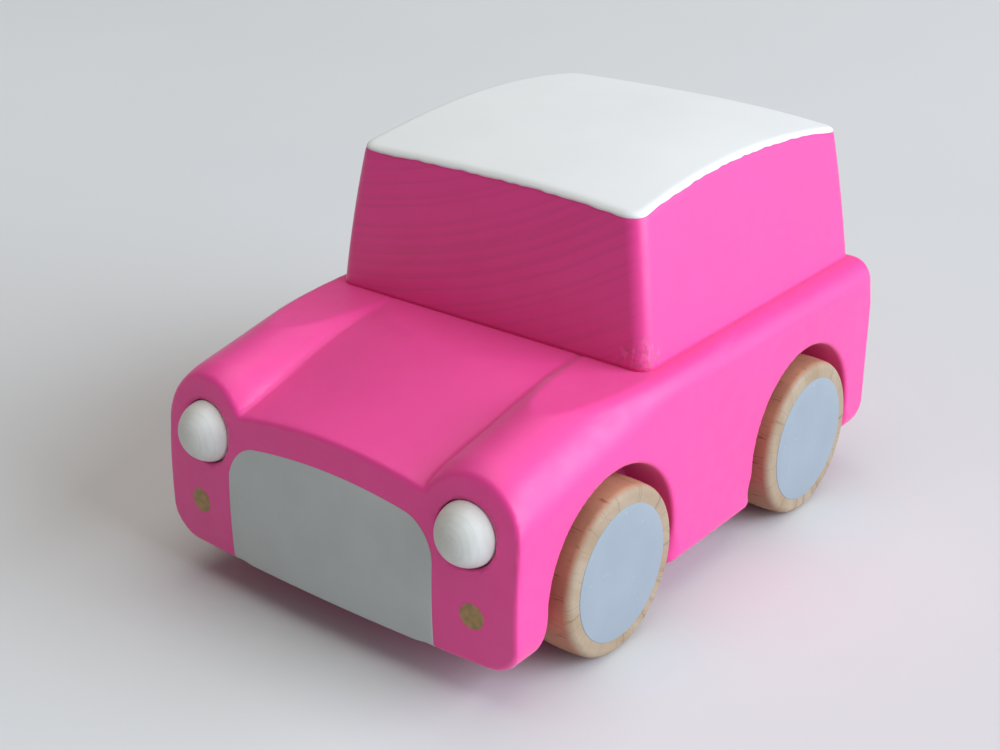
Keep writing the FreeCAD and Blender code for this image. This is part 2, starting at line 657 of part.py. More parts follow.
def motor_case_left():
    """The spring side of the case, with the round spring chamber and the two ears."""
    y = (PLATE_Y[1], CASE_Y[1])
    inside_y = (PLATE_Y[1], CHAMBER_END_Y)
    beside_chamber = (CASE_X[0], SPRING_AT[0] - CHAMBER_R - CASE_WALL)
    relief = case_inside(inside_y).common(block(beside_chamber, inside_y, CASE_Z))
    shell = case_outline(y).cut([relief, rod_y(CHAMBER_R, *SPRING_AT, inside_y)])
    rear_bosses = bosses(inside_y)[:2]
    shell = shell.fuse(rear_bosses + ears())
    through = (y[0] - BEYOND, y[1] + BEYOND)
    holes = [rod_y(AXLE_R + RUNNING, *centre, through) for centre in (AXLE_AT, SPRING_AT)]
    x, z = SPRING_AT
    anchor = (x, x + CHAMBER_R + SPRING_ANCHOR + END_GAP)
    holes.append(block(anchor, (y[0], SPRING_Y[1] + END_GAP), (z - SPRING_STRIP, z + SPRING_STRIP)))
    blind = (y[0] - BEYOND, y[0] + CASE_SCREW_GRIP + END_GAP)
    holes += [rod_y(CASE_SCREW_R, x, z, blind) for x, z in CASE_SCREWS]
    return shell.cut(holes)


def case_screws():
    screws = []
    for x, z in CASE_SCREWS:
        head = rod_y(CASE_SCREW_HEAD_R, x, z, (CASE_Y[0], CASE_Y[0] + CASE_SCREW_HEAD))
        shank = rod_y(CASE_SCREW_R, x, z, (CASE_Y[0], PLATE_Y[1] + CASE_SCREW_GRIP))
        recess = rod_y(CASE_SCREW_RECESS_R, x, z, (CASE_Y[0], CASE_Y[0] + CASE_SCREW_RECESS))
        screws.append(head.fuse(shank).cut(recess))
    return screws


def motor_screws():
    """Two pan head screws that hold the motor's ears up into the body."""
    screws = []
    length, width, depth = MOUNT_SCREW_CROSS
    for seat in ear_positions():
        low = seat - V(0, 0, MOUNT_SCREW_HEAD)
        head = Part.makeCylinder(MOUNT_SCREW_HEAD_R, MOUNT_SCREW_HEAD, low)
        shank = Part.makeCylinder(MOUNT_SCREW_R, MOUNT_SCREW_LENGTH - END_GAP, seat)
        cross = [
            Part.makeBox(length, width, depth, low - V(length / 2, width / 2, 0)),
            Part.makeBox(width, length, depth, low - V(width / 2, length / 2, 0)),
        ]
        screws.append(head.fuse(shank).cut(cross))
    return screws


# ---- export ----

def all_nodes():
    nodes = {
        "lower_body": lower_body(), "cabin_block": cabin_block(), "roof_paint": roof_paint(),
        "cabin_dowels": cabin_dowels(), "grille_print": grille_print(), "lamp_dots": lamp_dots(),
        "front_axle": axle(FRONT_AXLE_X), "rear_axle": axle(REAR_AXLE_X),
        "axle_gear": axle_gear(), "clutch_pinion": clutch_pinion(), "idler_gear": idler_gear(),
        "idler_pin": idler_pin(), "spring_gear": spring_gear(), "mainspring": mainspring(),
        "motor_case_right": motor_case_right(), "motor_mid_plate": motor_mid_plate(),
        "motor_case_left": motor_case_left(), "case_screws": case_screws(),
        "motor_screws": motor_screws(),
    }
    for side, side_name in ((LEFT, "left"), (RIGHT, "right")):
        nodes["headlight_" + side_name] = headlight(side)
        nodes["front_bush_" + side_name] = front_bush(side)
        for x, end in ((FRONT_AXLE_X, "front"), (REAR_AXLE_X, "rear")):
            nodes["wheel_" + end + "_" + side_name] = wheel(x, side)
            nodes["wheel_print_" + end + "_" + side_name] = wheel_print(x, side)
    return nodes


def main():
    os.makedirs("parts", exist_ok=True)
    for name, shape in all_nodes().items():
        pieces = shape if isinstance(shape, list) else [shape]
        solids = [solid for piece in pieces for solid in piece.removeSplitter().Solids]
        whole = solids[0] if len(solids) == 1 else Part.makeCompound(solids)
        print(name, len(solids), "solid(s)", round(whole.Volume, 2), "mm3", whole.isValid())
        whole.exportStep("parts/" + name + ".step")


main()
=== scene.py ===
import math

import bmesh
import bpy
import numpy as np
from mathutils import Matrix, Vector


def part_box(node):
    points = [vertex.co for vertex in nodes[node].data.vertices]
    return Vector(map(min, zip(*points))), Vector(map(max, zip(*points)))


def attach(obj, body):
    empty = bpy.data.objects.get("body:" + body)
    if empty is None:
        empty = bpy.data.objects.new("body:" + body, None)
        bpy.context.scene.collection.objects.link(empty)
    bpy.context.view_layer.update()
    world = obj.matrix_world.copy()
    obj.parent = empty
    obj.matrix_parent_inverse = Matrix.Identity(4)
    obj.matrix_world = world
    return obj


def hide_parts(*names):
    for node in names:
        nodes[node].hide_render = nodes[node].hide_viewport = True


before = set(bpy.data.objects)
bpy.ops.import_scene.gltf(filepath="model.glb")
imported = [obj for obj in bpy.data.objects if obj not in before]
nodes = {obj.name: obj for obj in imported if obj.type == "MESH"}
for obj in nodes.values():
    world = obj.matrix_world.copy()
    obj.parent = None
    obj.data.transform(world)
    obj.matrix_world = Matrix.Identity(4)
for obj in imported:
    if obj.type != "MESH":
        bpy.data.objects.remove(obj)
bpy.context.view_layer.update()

# Shapes are worked out in millimetres and handed to Blender in metres.
MM = 0.001
LEFT, RIGHT = 1, -1


def node_box(name):
    low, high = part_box(name)
    return np.array(low) / MM, np.array(high) / MM


# lower body
body_low, body_high = node_box("lower_body")
HALF_WIDTH = body_high[1]
UNDERSIDE_Z, SHOULDER_Z = body_low[2], body_high[2]
REAR_X, FRONT_X = body_low[0], body_high[0]
FRONT_FULLEST_Z = 18.0
FRONT_LEAN, FRONT_PROUD = 0.04, 0.04
FRONT_CROWN_R, FRONT_BULGE_R = 107.0, 400.0

# lower body: edge radii, and the spans over which some of them change
FRONT_EDGE_R, FRONT_FOOT_EXTRA_R, FRONT_FOOT_Z = 0.5, 0.6, (7, 11)
REAR_EDGE_R, REAR_TOP_R, REAR_BOTTOM_R, REAR_TOP_SPAN_Z = 1.1, 2.5, 5.5, (28, 35)
SHOULDER_R, BOTTOM_EDGE_R, END_BOTTOM_R = 3.7, 1.8, 4.8
FRONT_END_X, REAR_END_X = (26, 34), (-40, -32)
SOCKET_EDGE_R, POCKET_EDGE_R = 0.25, 0.3

# underside
POCKET_GAP, EAR_POCKET_TOP_Z, AXLE_SLOT_HALF_WIDTH = 0.5, 9.2, 2.0

# hood
FENDER_R = 8.45
FENDER_Y = HALF_WIDTH - FENDER_R
FENDER_AXIS_Z = 25.2
FENDER_SLOPE = 0.2
FENDER_DROOP_LENGTH, FENDER_DROOP_R = 5.5, 7.0
PANEL_HALF_WIDTH, CREASE_R = 20.0, 0.5
PANEL_X = (2.0, 12.0, 21.7, 30.4, 38.6, 46.0, 53.0)
PANEL_MIDDLE_Z = (39.0, 38.3, 36.9, 35.0, 32.9, 31.4, 30.0)
PANEL_ARCH_R = (135.0, 135.0, 135.0, 135.0, 120.0, 77.0, 62.0)

# cabin
cabin_low, cabin_high = node_box("cabin_block")
CABIN_FRONT_X, CABIN_REAR_X = 12.4, cabin_low[0]
CABIN_HALF_WIDTH = 28.8
LEFT_LEAN, LEFT_CURVE = 0.155, 0.0021
RIGHT_LEAN, RIGHT_CURVE = 0.08, 0.0012
RIGHT_REAR_FLARE, RIGHT_FLARE_X = 0.05, (5, -35)
CABIN_FRONT_LEAN, CABIN_FRONT_CURVE = 0.10, 0.0023
CABIN_CORNER_R, CABIN_FOOT_R, ROOF_EDGE_R = 2.5, 0.15, 0.9
ROOF_TOP_Z = cabin_high[2]
ROOF_MIDDLE_X = -18.0
ROOF_LENGTHWISE_R = 165.0
ROOF_CROSSWISE_R = {LEFT: 240.0, RIGHT: 700.0}
PAINT_WRAP_ENDS, PAINT_WRAP_SIDES = 0.6, 0.45
PAINT_SIDES_Y, PAINT_RAGGED = (21, 24), 0.2
ROOF_FILM = 0.2

# wheels
wheel_low, wheel_high = node_box("wheel_front_left")
WHEEL_R = (wheel_high[2] - wheel_low[2]) / 2
WHEEL_WIDTH = wheel_high[1] - wheel_low[1]
WHEEL_OUTER_Y = wheel_high[1]
AXLE_X = {end: sum(box[0] for box in node_box(f"wheel_{end}_left")) / 2 for end in ("front", "rear")}
WHEEL_RIM_R, TREAD_CROWN = 1.2, 0.15
ARCH_R, ARCH_RISE, ARCH_FLOOR_Y = 14.9, 0.3, 24.6
ARCH_EDGE_R, ARCH_FOOT_EXTRA_R, ARCH_FOOT_Z = 0.6, 2.0, (8, 13)
disc_low, disc_high = node_box("wheel_print_front_left")
DISC_R = (disc_high[2] - disc_low[2]) / 2
DISC_FILM = 0.1

# headlights
lamp_low, lamp_high = node_box("headlight_left")
LAMP_Y, LAMP_Z = (lamp_low[1] + lamp_high[1]) / 2, (lamp_low[2] + lamp_high[2]) / 2
LAMP_R = (lamp_high[2] - lamp_low[2]) / 2
LAMP_ROOT_X, LAMP_TIP_X = lamp_low[0], lamp_high[0]
DOME_RISE = 4.7
SOCKET_R = LAMP_R + 0.15

GRID = 0.6


# ---- fields: negative inside a shape, zero on its surface, in millimetres ----

def both(a, b, radius=0.0, lean=0.0):
    """The overlap of two shapes, with its edge rounded; lean is the cosine between their slopes."""
    a, b = a + radius, b + radius
    lean = np.clip(lean, -0.95, 0.95)
    corner = np.sqrt(np.maximum(a * a + b * b - 2 * lean * a * b, 0) / (1 - lean * lean))
    return np.where((a > lean * b) & (b > lean * a), corner, np.maximum(a, b)) - radius


def either(a, b, radius):
    """Two shapes joined, with the inner corner between them filled."""
    return -both(-a, -b, radius)


def without(a, b, radius=0.0):
    return both(a, -b, radius)


def ease(value, start, end):
    share = np.clip((value - start) / (end - start), 0, 1)
    return share * share * (3 - 2 * share)


def smooth_through(x, places, values):
    """A curve through the values, with no corners, and flat past both ends."""
    slopes = np.gradient(values, places)
    spot = np.clip(x, places[0], places[-1])
    left = np.clip(np.searchsorted(places, spot) - 1, 0, len(places) - 2)
    places, values = np.array(places), np.array(values)
    width = places[left + 1] - places[left]
    t = (spot - places[left]) / width
    start = (1 + 2 * t) * (1 - t) ** 2 * values[left] + t * (1 - t) ** 2 * width * slopes[left]
    end = t ** 2 * (3 - 2 * t) * values[left + 1] - t ** 2 * (1 - t) * width * slopes[left + 1]
    return start + end


def box_field(x, y, z, x_span, y_span, z_span):
    """A plain box; y is already a distance from the middle plane."""
    walls = [x_span[0] - x, x - x_span[1], y - y_span, z_span[0] - z, z - z_span[1]]
    return np.maximum.reduce(walls)


def hood_field(x, y, z):
    """Two round-topped fenders that rise towards the cabin, the arched panel between them, and how
    far the surface there faces up."""
    droop = np.clip(x - FRONT_X + FENDER_DROOP_LENGTH, 0, FENDER_DROOP_LENGTH) ** 2 / (2 * FENDER_DROOP_R)
    axis_z = FENDER_AXIS_Z + FENDER_SLOPE * (FRONT_X - x) - droop
    above = np.maximum(z - axis_z, 0)
    reach = np.hypot(y - FENDER_Y, above)
    middle_z = smooth_through(x, PANEL_X, PANEL_MIDDLE_Z)
    panel_z = middle_z - y ** 2 / (2 * smooth_through(x, PANEL_X, PANEL_ARCH_R))
    fender, panel = reach - FENDER_R, np.maximum(z - panel_z, y - PANEL_HALF_WIDTH)
    up = np.where(fender < panel, above / np.maximum(reach, 0.1), 1.0)
    return either(fender, panel, CREASE_R), up


def front_field(x, y, z):
    rise = z - FRONT_FULLEST_Z
    crown = FRONT_LEAN * rise + rise ** 2 / (2 * FRONT_CROWN_R)
    return x - (FRONT_X + FRONT_PROUD - crown - y ** 2 / (2 * FRONT_BULGE_R))


def outer_field(x, y, z):
    """The body with no hollows in it."""
    hood, up = hood_field(x, y, z)
    long_sides = both(hood, z - SHOULDER_Z, SHOULDER_R, up)
    rear, bottom = REAR_X - x, UNDERSIDE_Z - z
    down = np.maximum(bottom + REAR_BOTTOM_R, 0)
    down = (down / np.maximum(np.hypot(down, np.maximum(rear + REAR_BOTTOM_R, 0)), 0.01)) ** 2
    ends = ease(x, *FRONT_END_X) + 1 - ease(x, *REAR_END_X)
    bottom_r = BOTTOM_EDGE_R + (END_BOTTOM_R - BOTTOM_EDGE_R) * ends
    rear_r = REAR_EDGE_R + (REAR_TOP_R - REAR_EDGE_R) * ease(z, *REAR_TOP_SPAN_Z)
    body = both(long_sides, both(rear, bottom, REAR_BOTTOM_R), down * bottom_r + (1 - down) * rear_r)
    front_r = FRONT_EDGE_R + FRONT_FOOT_EXTRA_R * (1 - ease(z, *FRONT_FOOT_Z))
    return both(body, front_field(x, y, z), front_r)


def wheel_arches(x, y, z):
    arches = [np.hypot(x - axle_x, z - WHEEL_R - ARCH_RISE) - ARCH_R for axle_x in AXLE_X.values()]
    return np.maximum(np.minimum(*arches), ARCH_FLOOR_Y - y)


def underside_pockets(x, y, z):
    """The pocket for the motor and its ears, and the slot for the rear axle."""
    case_low, case_high = node_box("motor_case_left")
    plate_low, plate_high = node_box("motor_mid_plate")
    gap = POCKET_GAP
    half = case_high[1] + gap
    deep = box_field(x, y, z, (plate_low[0] - gap, plate_high[0] + gap), half, (0, plate_high[2] + gap))
    shallow = box_field(x, y, z, (case_low[0] - gap, case_high[0] + gap), half, (0, EAR_POCKET_TOP_Z))
    slot = np.hypot(x - AXLE_X["rear"], np.maximum(z - WHEEL_R, 0)) - AXLE_SLOT_HALF_WIDTH
    slot = np.maximum(slot, y - ARCH_FLOOR_Y - 1)
    return np.minimum(np.minimum(deep, shallow), slot)


def lower_body_field(points):
    x, y, z = points[..., 0], np.abs(points[..., 1]), points[..., 2]
    arch_r = ARCH_EDGE_R + ARCH_FOOT_EXTRA_R * (1 - ease(z, *ARCH_FOOT_Z))
    body = without(outer_field(x, y, z), wheel_arches(x, y, z), arch_r)
    socket = np.maximum(np.hypot(y - LAMP_Y, z - LAMP_Z) - SOCKET_R, LAMP_ROOT_X - x)
    body = without(body, socket, SOCKET_EDGE_R)
    return without(body, underside_pockets(x, y, z), POCKET_EDGE_R)


def roof_z(x, y):
    """The roof's height, crowned both ways, and flatter across on the right."""
    crosswise_r = np.where(y > 0, ROOF_CROSSWISE_R[LEFT], ROOF_CROSSWISE_R[RIGHT])
    return ROOF_TOP_Z - (x - ROOF_MIDDLE_X) ** 2 / (2 * ROOF_LENGTHWISE_R) - y ** 2 / (2 * crosswise_r)


def cabin_field(points):
    """The cabin, sanded by hand: its right wall leans in less than its left one."""
    x, y, z = points[..., 0], points[..., 1], points[..., 2]
    rise = z - SHOULDER_Z
    left_half = CABIN_HALF_WIDTH - LEFT_LEAN * rise - LEFT_CURVE * rise ** 2
    right_half = CABIN_HALF_WIDTH - RIGHT_LEAN * rise - RIGHT_CURVE * rise ** 2
    right_half += RIGHT_REAR_FLARE * rise * ease(x, *RIGHT_FLARE_X)
    sides = np.maximum(y - left_half, -y - right_half)
    front = CABIN_FRONT_X - CABIN_FRONT_LEAN * rise - CABIN_FRONT_CURVE * rise ** 2
    walls = both(sides, np.maximum(x - front, CABIN_REAR_X - x), CABIN_CORNER_R)
    cabin = both(walls, z - roof_z(x, y), ROOF_EDGE_R)
    return both(cabin, SHOULDER_Z - z, CABIN_FOOT_R)


def slope_of(field, points):
    """Unit outward directions of a field."""
    reach = 0.01
    parts = []
    for axis in np.eye(3) * reach:
        parts.append(field(points + axis) - field(points - axis))
    slope = np.stack(parts, -1)
    return slope / np.maximum(np.linalg.norm(slope, axis=-1, keepdims=True), 1e-12)


# ---- meshes from fields ----

def contour(field, low, high, step):
    """Points and quads of a field's surface, one point a cell, placed so that sharp edges stay sharp."""
    counts = np.ceil((high - low) / step).astype(int) + 1
    grid = np.stack(np.meshgrid(*[np.arange(n) for n in counts], indexing="ij"), -1) * step + low
    values = field(grid)
    cells, points, quads = [], [], []
    for axis in range(3):
        before = tuple(slice(0, -1) if k == axis else slice(None) for k in range(3))
        after = tuple(slice(1, None) if k == axis else slice(None) for k in range(3))
        index = np.argwhere((values[before] < 0) != (values[after] < 0))
        start, end = values[before][tuple(index.T)], values[after][tuple(index.T)]
        place = low + step * index
        place[:, axis] += step * start / (start - end)
        around = []
        for turn_u, turn_v in ((0, 0), (1, 0), (1, 1), (0, 1)):
            cell = index.copy()
            cell[:, (axis + 1) % 3] -= turn_u
            cell[:, (axis + 2) % 3] -= turn_v
            around.append(np.ravel_multi_index(tuple(cell.T), values.shape))
        around = np.stack(around, 1)
        cells.append(around.ravel())
        points.append(np.repeat(place, 4, axis=0))
        quads.append(np.where((start < 0)[:, None], around, around[:, ::-1]))
    cells, points, quads = np.concatenate(cells), np.concatenate(points), np.concatenate(quads)
    used, owner = np.unique(cells, return_inverse=True)
    placed = best_points(field, points, owner.ravel(), len(used))
    for _ in range(2):
        placed -= field(placed)[:, None] * slope_of(field, placed)
    return placed, np.searchsorted(used, quads)


def best_points(field, points, owner, count):
    """For each cell, the point nearest to the tangent planes at its crossings."""
    slopes = slope_of(field, points)
    heights = np.einsum("ij,ij->i", slopes, points)

    def total(amounts):
        return np.bincount(owner, amounts, count)

    share = total(np.ones(len(points)))
    middle = np.stack([total(points[:, k]) / share for k in range(3)], -1)
    planes = np.empty((count, 3, 3))
    goals = np.empty((count, 3))
    for i in range(3):
        goals[:, i] = total(slopes[:, i] * heights)
        for j in range(3):
            planes[:, i, j] = total(slopes[:, i] * slopes[:, j])
    pull = 0.05
    goals += pull * middle
    planes += pull * np.eye(3)
    placed = np.linalg.solve(planes, goals[..., None])[..., 0]
    return np.clip(placed, middle - GRID, middle + GRID)


def make_object(name, points, faces, material, origin=(0, 0, 0), normals=None):
    """A smooth-shaded object from points in millimetres, with its origin at the given place."""
    mesh = bpy.data.meshes.new(name)
    mesh.from_pydata(((np.asarray(points) - origin) * MM).tolist(), [], [list(face) for face in faces])
    mesh.update()
    mesh.polygons.foreach_set("use_smooth", np.ones(len(mesh.polygons), bool))
    if normals is None:
        mesh.set_sharp_from_angle(angle=math.radians(40))
    else:
        mesh.normals_split_custom_set_from_vertices(normals.tolist())
    mesh.materials.append(material)
    piece = bpy.data.objects.new(name, mesh)
    piece.location = np.asarray(origin, float) * MM
    bpy.context.scene.collection.objects.link(piece)
    return piece


def film_faces(rows, columns, closed):
    """Quads for a grid of points, joined end to end across when closed."""
    last = columns if closed else columns - 1
    return [
        (i * columns + j, i * columns + (j + 1) % columns, (i + 1) * columns + (j + 1) % columns,
         (i + 1) * columns + j)
        for i in range(rows - 1) for j in range(last)
    ]


def turned_piece(name, profile, segments, material, origin, axis):
    """A lathe turning: profile holds (distance along the axis, radius), from one end to the other."""
    angles = np.arange(segments) * 2 * math.pi / segments
    others = [k for k in range(3) if k != axis]
    points = []
    for along, radius in profile:
        ring = np.zeros((segments, 3))
        ring[:, axis] = along
        ring[:, others[0]] = radius * np.cos(angles)
        ring[:, others[1]] = radius * np.sin(angles)
        points.append(ring)
    rings = len(profile)
    faces = film_faces(rings, segments, True)
    faces.append(tuple(range(segments))[::-1])
    faces.append(tuple((rings - 1) * segments + j for j in range(segments)))
    piece = make_object(name, np.concatenate(points) + origin, faces, material, origin)
    turn_faces_outward(piece)
    return piece


def turn_faces_outward(piece):
    shape = bmesh.new()
    shape.from_mesh(piece.data)
    bmesh.ops.recalc_face_normals(shape, faces=shape.faces)
    shape.to_mesh(piece.data)
    shape.free()


# ---- materials ----

class Shader:
    """A material's node tree, with short ways to add nodes to it."""

    def __init__(self, name, roughness=0.5, specular=0.5):
        self.material = bpy.data.materials.new(name)
        self.material.use_nodes = True
        self.tree = self.material.node_tree
        self.surface = self.tree.nodes["Principled BSDF"]
        self.surface.inputs["Roughness"].default_value = roughness
        self.surface.inputs["Specular IOR Level"].default_value = specular
        self.place = self.add("ShaderNodeTexCoord").outputs

    def add(self, kind, **settings):
        node = self.tree.nodes.new(kind)
        for key, value in settings.items():
            setattr(node, key, value)
        return node

    def feed(self, socket, value):
        if isinstance(value, bpy.types.NodeSocket):
            self.tree.links.new(value, socket)
        else:
            socket.default_value = value

    def math(self, operation, a, b=0.0):
        node = self.add("ShaderNodeMath", operation=operation)
        for socket, value in zip(node.inputs, (a, b)):
            self.feed(socket, value)
        return node.outputs[0]

    def length(self, a, b):
        """The distance from zero of a point with these two coordinates."""
        return self.math("SQRT", self.math("ADD", self.math("MULTIPLY", a, a), self.math("MULTIPLY", b, b)))

    def stretch(self, scale, shift=(0, 0, 0)):
        """The object's own coordinates, times scale, after a shift."""
        return self.scaled(self.place["Object"], scale, shift)

    def scaled(self, vector, scale, shift=(0, 0, 0)):
        node = self.add("ShaderNodeMapping")
        self.feed(node.inputs["Vector"], vector)
        node.inputs["Location"].default_value = [s * k for s, k in zip(shift, scale)]
        node.inputs["Scale"].default_value = scale
        return node.outputs[0]

    def noise(self, scale, detail=2.0, vector=None, distortion=0.0):
        node = self.add("ShaderNodeTexNoise")
        self.feed(node.inputs["Vector"], vector or self.place["Object"])
        node.inputs["Scale"].default_value = scale
        node.inputs["Detail"].default_value = detail
        node.inputs["Distortion"].default_value = distortion
        return node.outputs[0]

    def noise_along(self, value, scale):
        """Noise that changes with one number only."""
        node = self.add("ShaderNodeTexNoise", noise_dimensions="1D")
        self.feed(node.inputs["W"], value)
        node.inputs["Scale"].default_value = scale
        return node.outputs[0]

    def part(self, vector, axis):
        node = self.add("ShaderNodeSeparateXYZ")
        self.feed(node.inputs[0], vector)
        return node.outputs[axis]

    def between(self, value, low, high, to_low=0.0, to_high=1.0):
        """Map value from one range to another, without going past its ends."""
        node = self.add("ShaderNodeMapRange", interpolation_type="SMOOTHSTEP")
        for socket, number in zip(node.inputs, (value, low, high, to_low, to_high)):
            self.feed(socket, number)
        return node.outputs[0]

    def blend(self, share, a, b):
        """Colour a where share is 0, and colour b where it is 1."""
        node = self.add("ShaderNodeMix", data_type="RGBA")
        self.feed(node.inputs[0], share)
        for socket, colour in ((node.inputs[6], a), (node.inputs[7], b)):
            self.feed(socket, (*colour, 1) if isinstance(colour, tuple) else colour)
        return node.outputs[2]

    def colour(self, value):
        self.feed(self.surface.inputs["Base Color"], (*value, 1) if isinstance(value, tuple) else value)

    def roughness(self, value):
        self.feed(self.surface.inputs["Roughness"], value)

    def bump(self, height, distance, strength):
        """Raise the surface by height, from 0 to 1, times distance in metres."""
        node = self.add("ShaderNodeBump")
        node.inputs["Strength"].default_value = strength
        node.inputs["Distance"].default_value = distance
        self.feed(node.inputs["Height"], height)
        if self.surface.inputs["Normal"].is_linked:
            self.tree.links.new(self.surface.inputs["Normal"].links[0].from_socket, node.inputs["Normal"])
        self.feed(self.surface.inputs["Normal"], node.outputs[0])


PINK = (0.88, 0.052, 0.308)
PINK_DEEP = (0.62, 0.045, 0.19)
PINK_PALE = (0.92, 0.33, 0.56)
RUBBED_BROWN, SEAM_FLECK = (0.34, 0.08, 0.10), (0.16, 0.03, 0.05)


def growth_rings(shader, heart_y, heart_z, spacing):
    """Thin lines where the growth rings of wood with its grain along X come to the surface."""
    across = shader.math("ADD", shader.part(shader.place["Object"], 1), -heart_y * MM)
    up = shader.math("ADD", shader.part(shader.place["Object"], 2), -heart_z * MM)
    distance = shader.length(across, up)
    wander = shader.math("MULTIPLY", shader.noise(38, 1.5), 0.9)
    uneven = shader.noise_along(shader.math("MULTIPLY", distance, 420.0), 1.0)
    wander = shader.math("ADD", wander, shader.math("MULTIPLY", uneven, 1.5))
    phase = shader.math("ADD", shader.math("DIVIDE", distance, spacing * MM), wander)
    saw = shader.math("FRACT", phase)
    return shader.math("MULTIPLY", shader.between(saw, 0.45, 0.9), shader.between(saw, 1.0, 0.92))


def painted_wood(name, ring_heart, ring_strength):
    """Satin pink paint over beech; the rings show through where the end grain drinks the paint."""
    shader = Shader(name)
    mottle = shader.noise(55, 4)
    base = shader.blend(shader.between(mottle, 0.3, 0.7), PINK, tuple(c * 0.95 for c in PINK))
    rings = growth_rings(shader, *ring_heart, 2.0)
    facing = shader.math("ABSOLUTE", shader.part(shader.place["Normal"], 0))
    end_grain = shader.between(facing, 0.55, 0.95)
    uneven = shader.between(shader.noise(60, 2), 0.3, 0.65, 0.35, 1.0)
    show = shader.math("MULTIPLY", shader.math("MULTIPLY", rings, end_grain), uneven)
    show = shader.math("MULTIPLY", show, ring_strength)
    base = shader.blend(show, base, PINK_DEEP)
    pores = shader.between(shader.noise(1, 1, shader.stretch((400, 3200, 3200))), 0.70, 0.78, 0.0, 0.22)
    base = shader.blend(pores, base, PINK_DEEP)
    shader.colour(base)
    fibre = shader.noise(1, 3, shader.stretch((220, 2200, 2200)))
    shader.bump(fibre, 0.00002, 0.6)
    shader.bump(shader.noise(900, 2), 0.000012, 0.5)
    shader.roughness(shader.between(shader.noise(300, 2), 0.3, 0.7, 0.38, 0.48))
    shader.surface.inputs["Sheen Weight"].default_value = 0.2
    shader.surface.inputs["Sheen Roughness"].default_value = 0.4
    return shader


def spot_mask(shader, centre, radius):
    """1 near a place given in millimetres, 0 past radius."""
    node = shader.add("ShaderNodeVectorMath", operation="DISTANCE")
    shader.feed(node.inputs[0], shader.place["Object"])
    node.inputs[1].default_value = [c * MM for c in centre]
    return shader.between(node.outputs["Value"], radius * MM, radius * 0.35 * MM)


def cabin_paint():
    shader = painted_wood("cabin_paint", (-37, 150), 0.32)
    base = shader.surface.inputs["Base Color"].links[0].from_socket
    # A patch at the near lower corner of the cabin: the brown marks are scuffing, and the pale marks are a
    # painted highlight along the corner's edge.
    scuffs_and_highlight = spot_mask(shader, (11.5, 27.5, 38.0), 5.0)
    pale = shader.between(shader.noise(1, 3, shader.stretch((1300, 1300, 600))), 0.48, 0.70)
    dark = shader.between(shader.noise(1, 3, shader.stretch((1500, 900, 1200), (3, 2, 1))), 0.50, 0.72)
    for mask, strength, colour in ((pale, 0.25, PINK_PALE), (dark, 0.55, RUBBED_BROWN)):
        share = shader.math("MULTIPLY", scuffs_and_highlight, shader.math("MULTIPLY", mask, strength))
        base = shader.blend(share, base, colour)
    # Dark flecks along the foot of the cabin, where it meets the body.
    height = shader.part(shader.place["Object"], 2)
    foot = shader.between(height, (SHOULDER_Z + 0.45) * MM, (SHOULDER_Z + 0.1) * MM)
    flecks = shader.between(shader.noise(1100, 2), 0.60, 0.72, 0.0, 0.5)
    base = shader.blend(shader.math("MULTIPLY", foot, flecks), base, SEAM_FLECK)
    shader.colour(base)
    return shader.material


def body_paint():
    return painted_wood("body_paint", (20, 160), 0.06).material


def roof_white():
    shader = Shader("roof_white", roughness=0.6, specular=0.3)
    cloud = shader.noise(40, 4)
    shader.colour(shader.blend(shader.between(cloud, 0.3, 0.7), (0.80, 0.80, 0.79), (0.83, 0.83, 0.82)))
    shader.bump(shader.noise(260, 4), 0.00003, 0.5)
    shader.bump(shader.noise(1600, 2), 0.00001, 0.5)
    return shader.material


def lamp_white():
    """Off-white paint over turned wood, with the faint rings that the turning tool left."""
    shader = Shader("lamp_white", roughness=0.5, specular=0.4)
    across, up = (shader.part(shader.place["Object"], k) for k in (1, 2))
    radius = shader.length(across, up)
    radius = shader.math("ADD", radius, shader.math("MULTIPLY", shader.noise(260, 2), 0.0012))
    rings = shader.math("SINE", shader.math("MULTIPLY", radius, 9000.0))
    faint = shader.between(rings, 0.3, 1.0, 0.0, 0.12)
    patch = shader.noise(300, 3)
    tone = shader.blend(shader.between(patch, 0.35, 0.7), (0.70, 0.70, 0.665), (0.65, 0.645, 0.60))
    shader.colour(shader.blend(faint, tone, (0.50, 0.48, 0.42)))
    shader.bump(shader.between(rings, -1.0, 1.0), 0.000012, 0.5)
    shader.bump(shader.noise(1500, 3), 0.00002, 0.5)
    return shader.material


def grey_print(name, tone):
    """Flat grey print with a slight cloudiness and a few pinholes."""
    shader = Shader(name, roughness=0.55, specular=0.35)
    cloud = shader.noise(120, 4)
    tone = shader.blend(shader.between(cloud, 0.3, 0.7), tone, tuple(c * 0.94 for c in tone))
    pinholes = shader.between(shader.noise(900, 1), 0.76, 0.80, 0.0, 0.16)
    shader.colour(shader.blend(pinholes, tone, (0.70, 0.74, 0.76)))
    shader.bump(shader.noise(700, 3), 0.000015, 0.6)
    return shader.material


def gold_print():
    shader = Shader("gold_print", roughness=0.5, specular=0.4)
    tone = shader.blend(shader.between(shader.noise(900, 3), 0.35, 0.65), (0.44, 0.27, 0.10),
                        (0.32, 0.20, 0.08))
    shader.colour(tone)
    shader.bump(shader.noise(1500, 2), 0.00001, 0.5)
    return shader.material


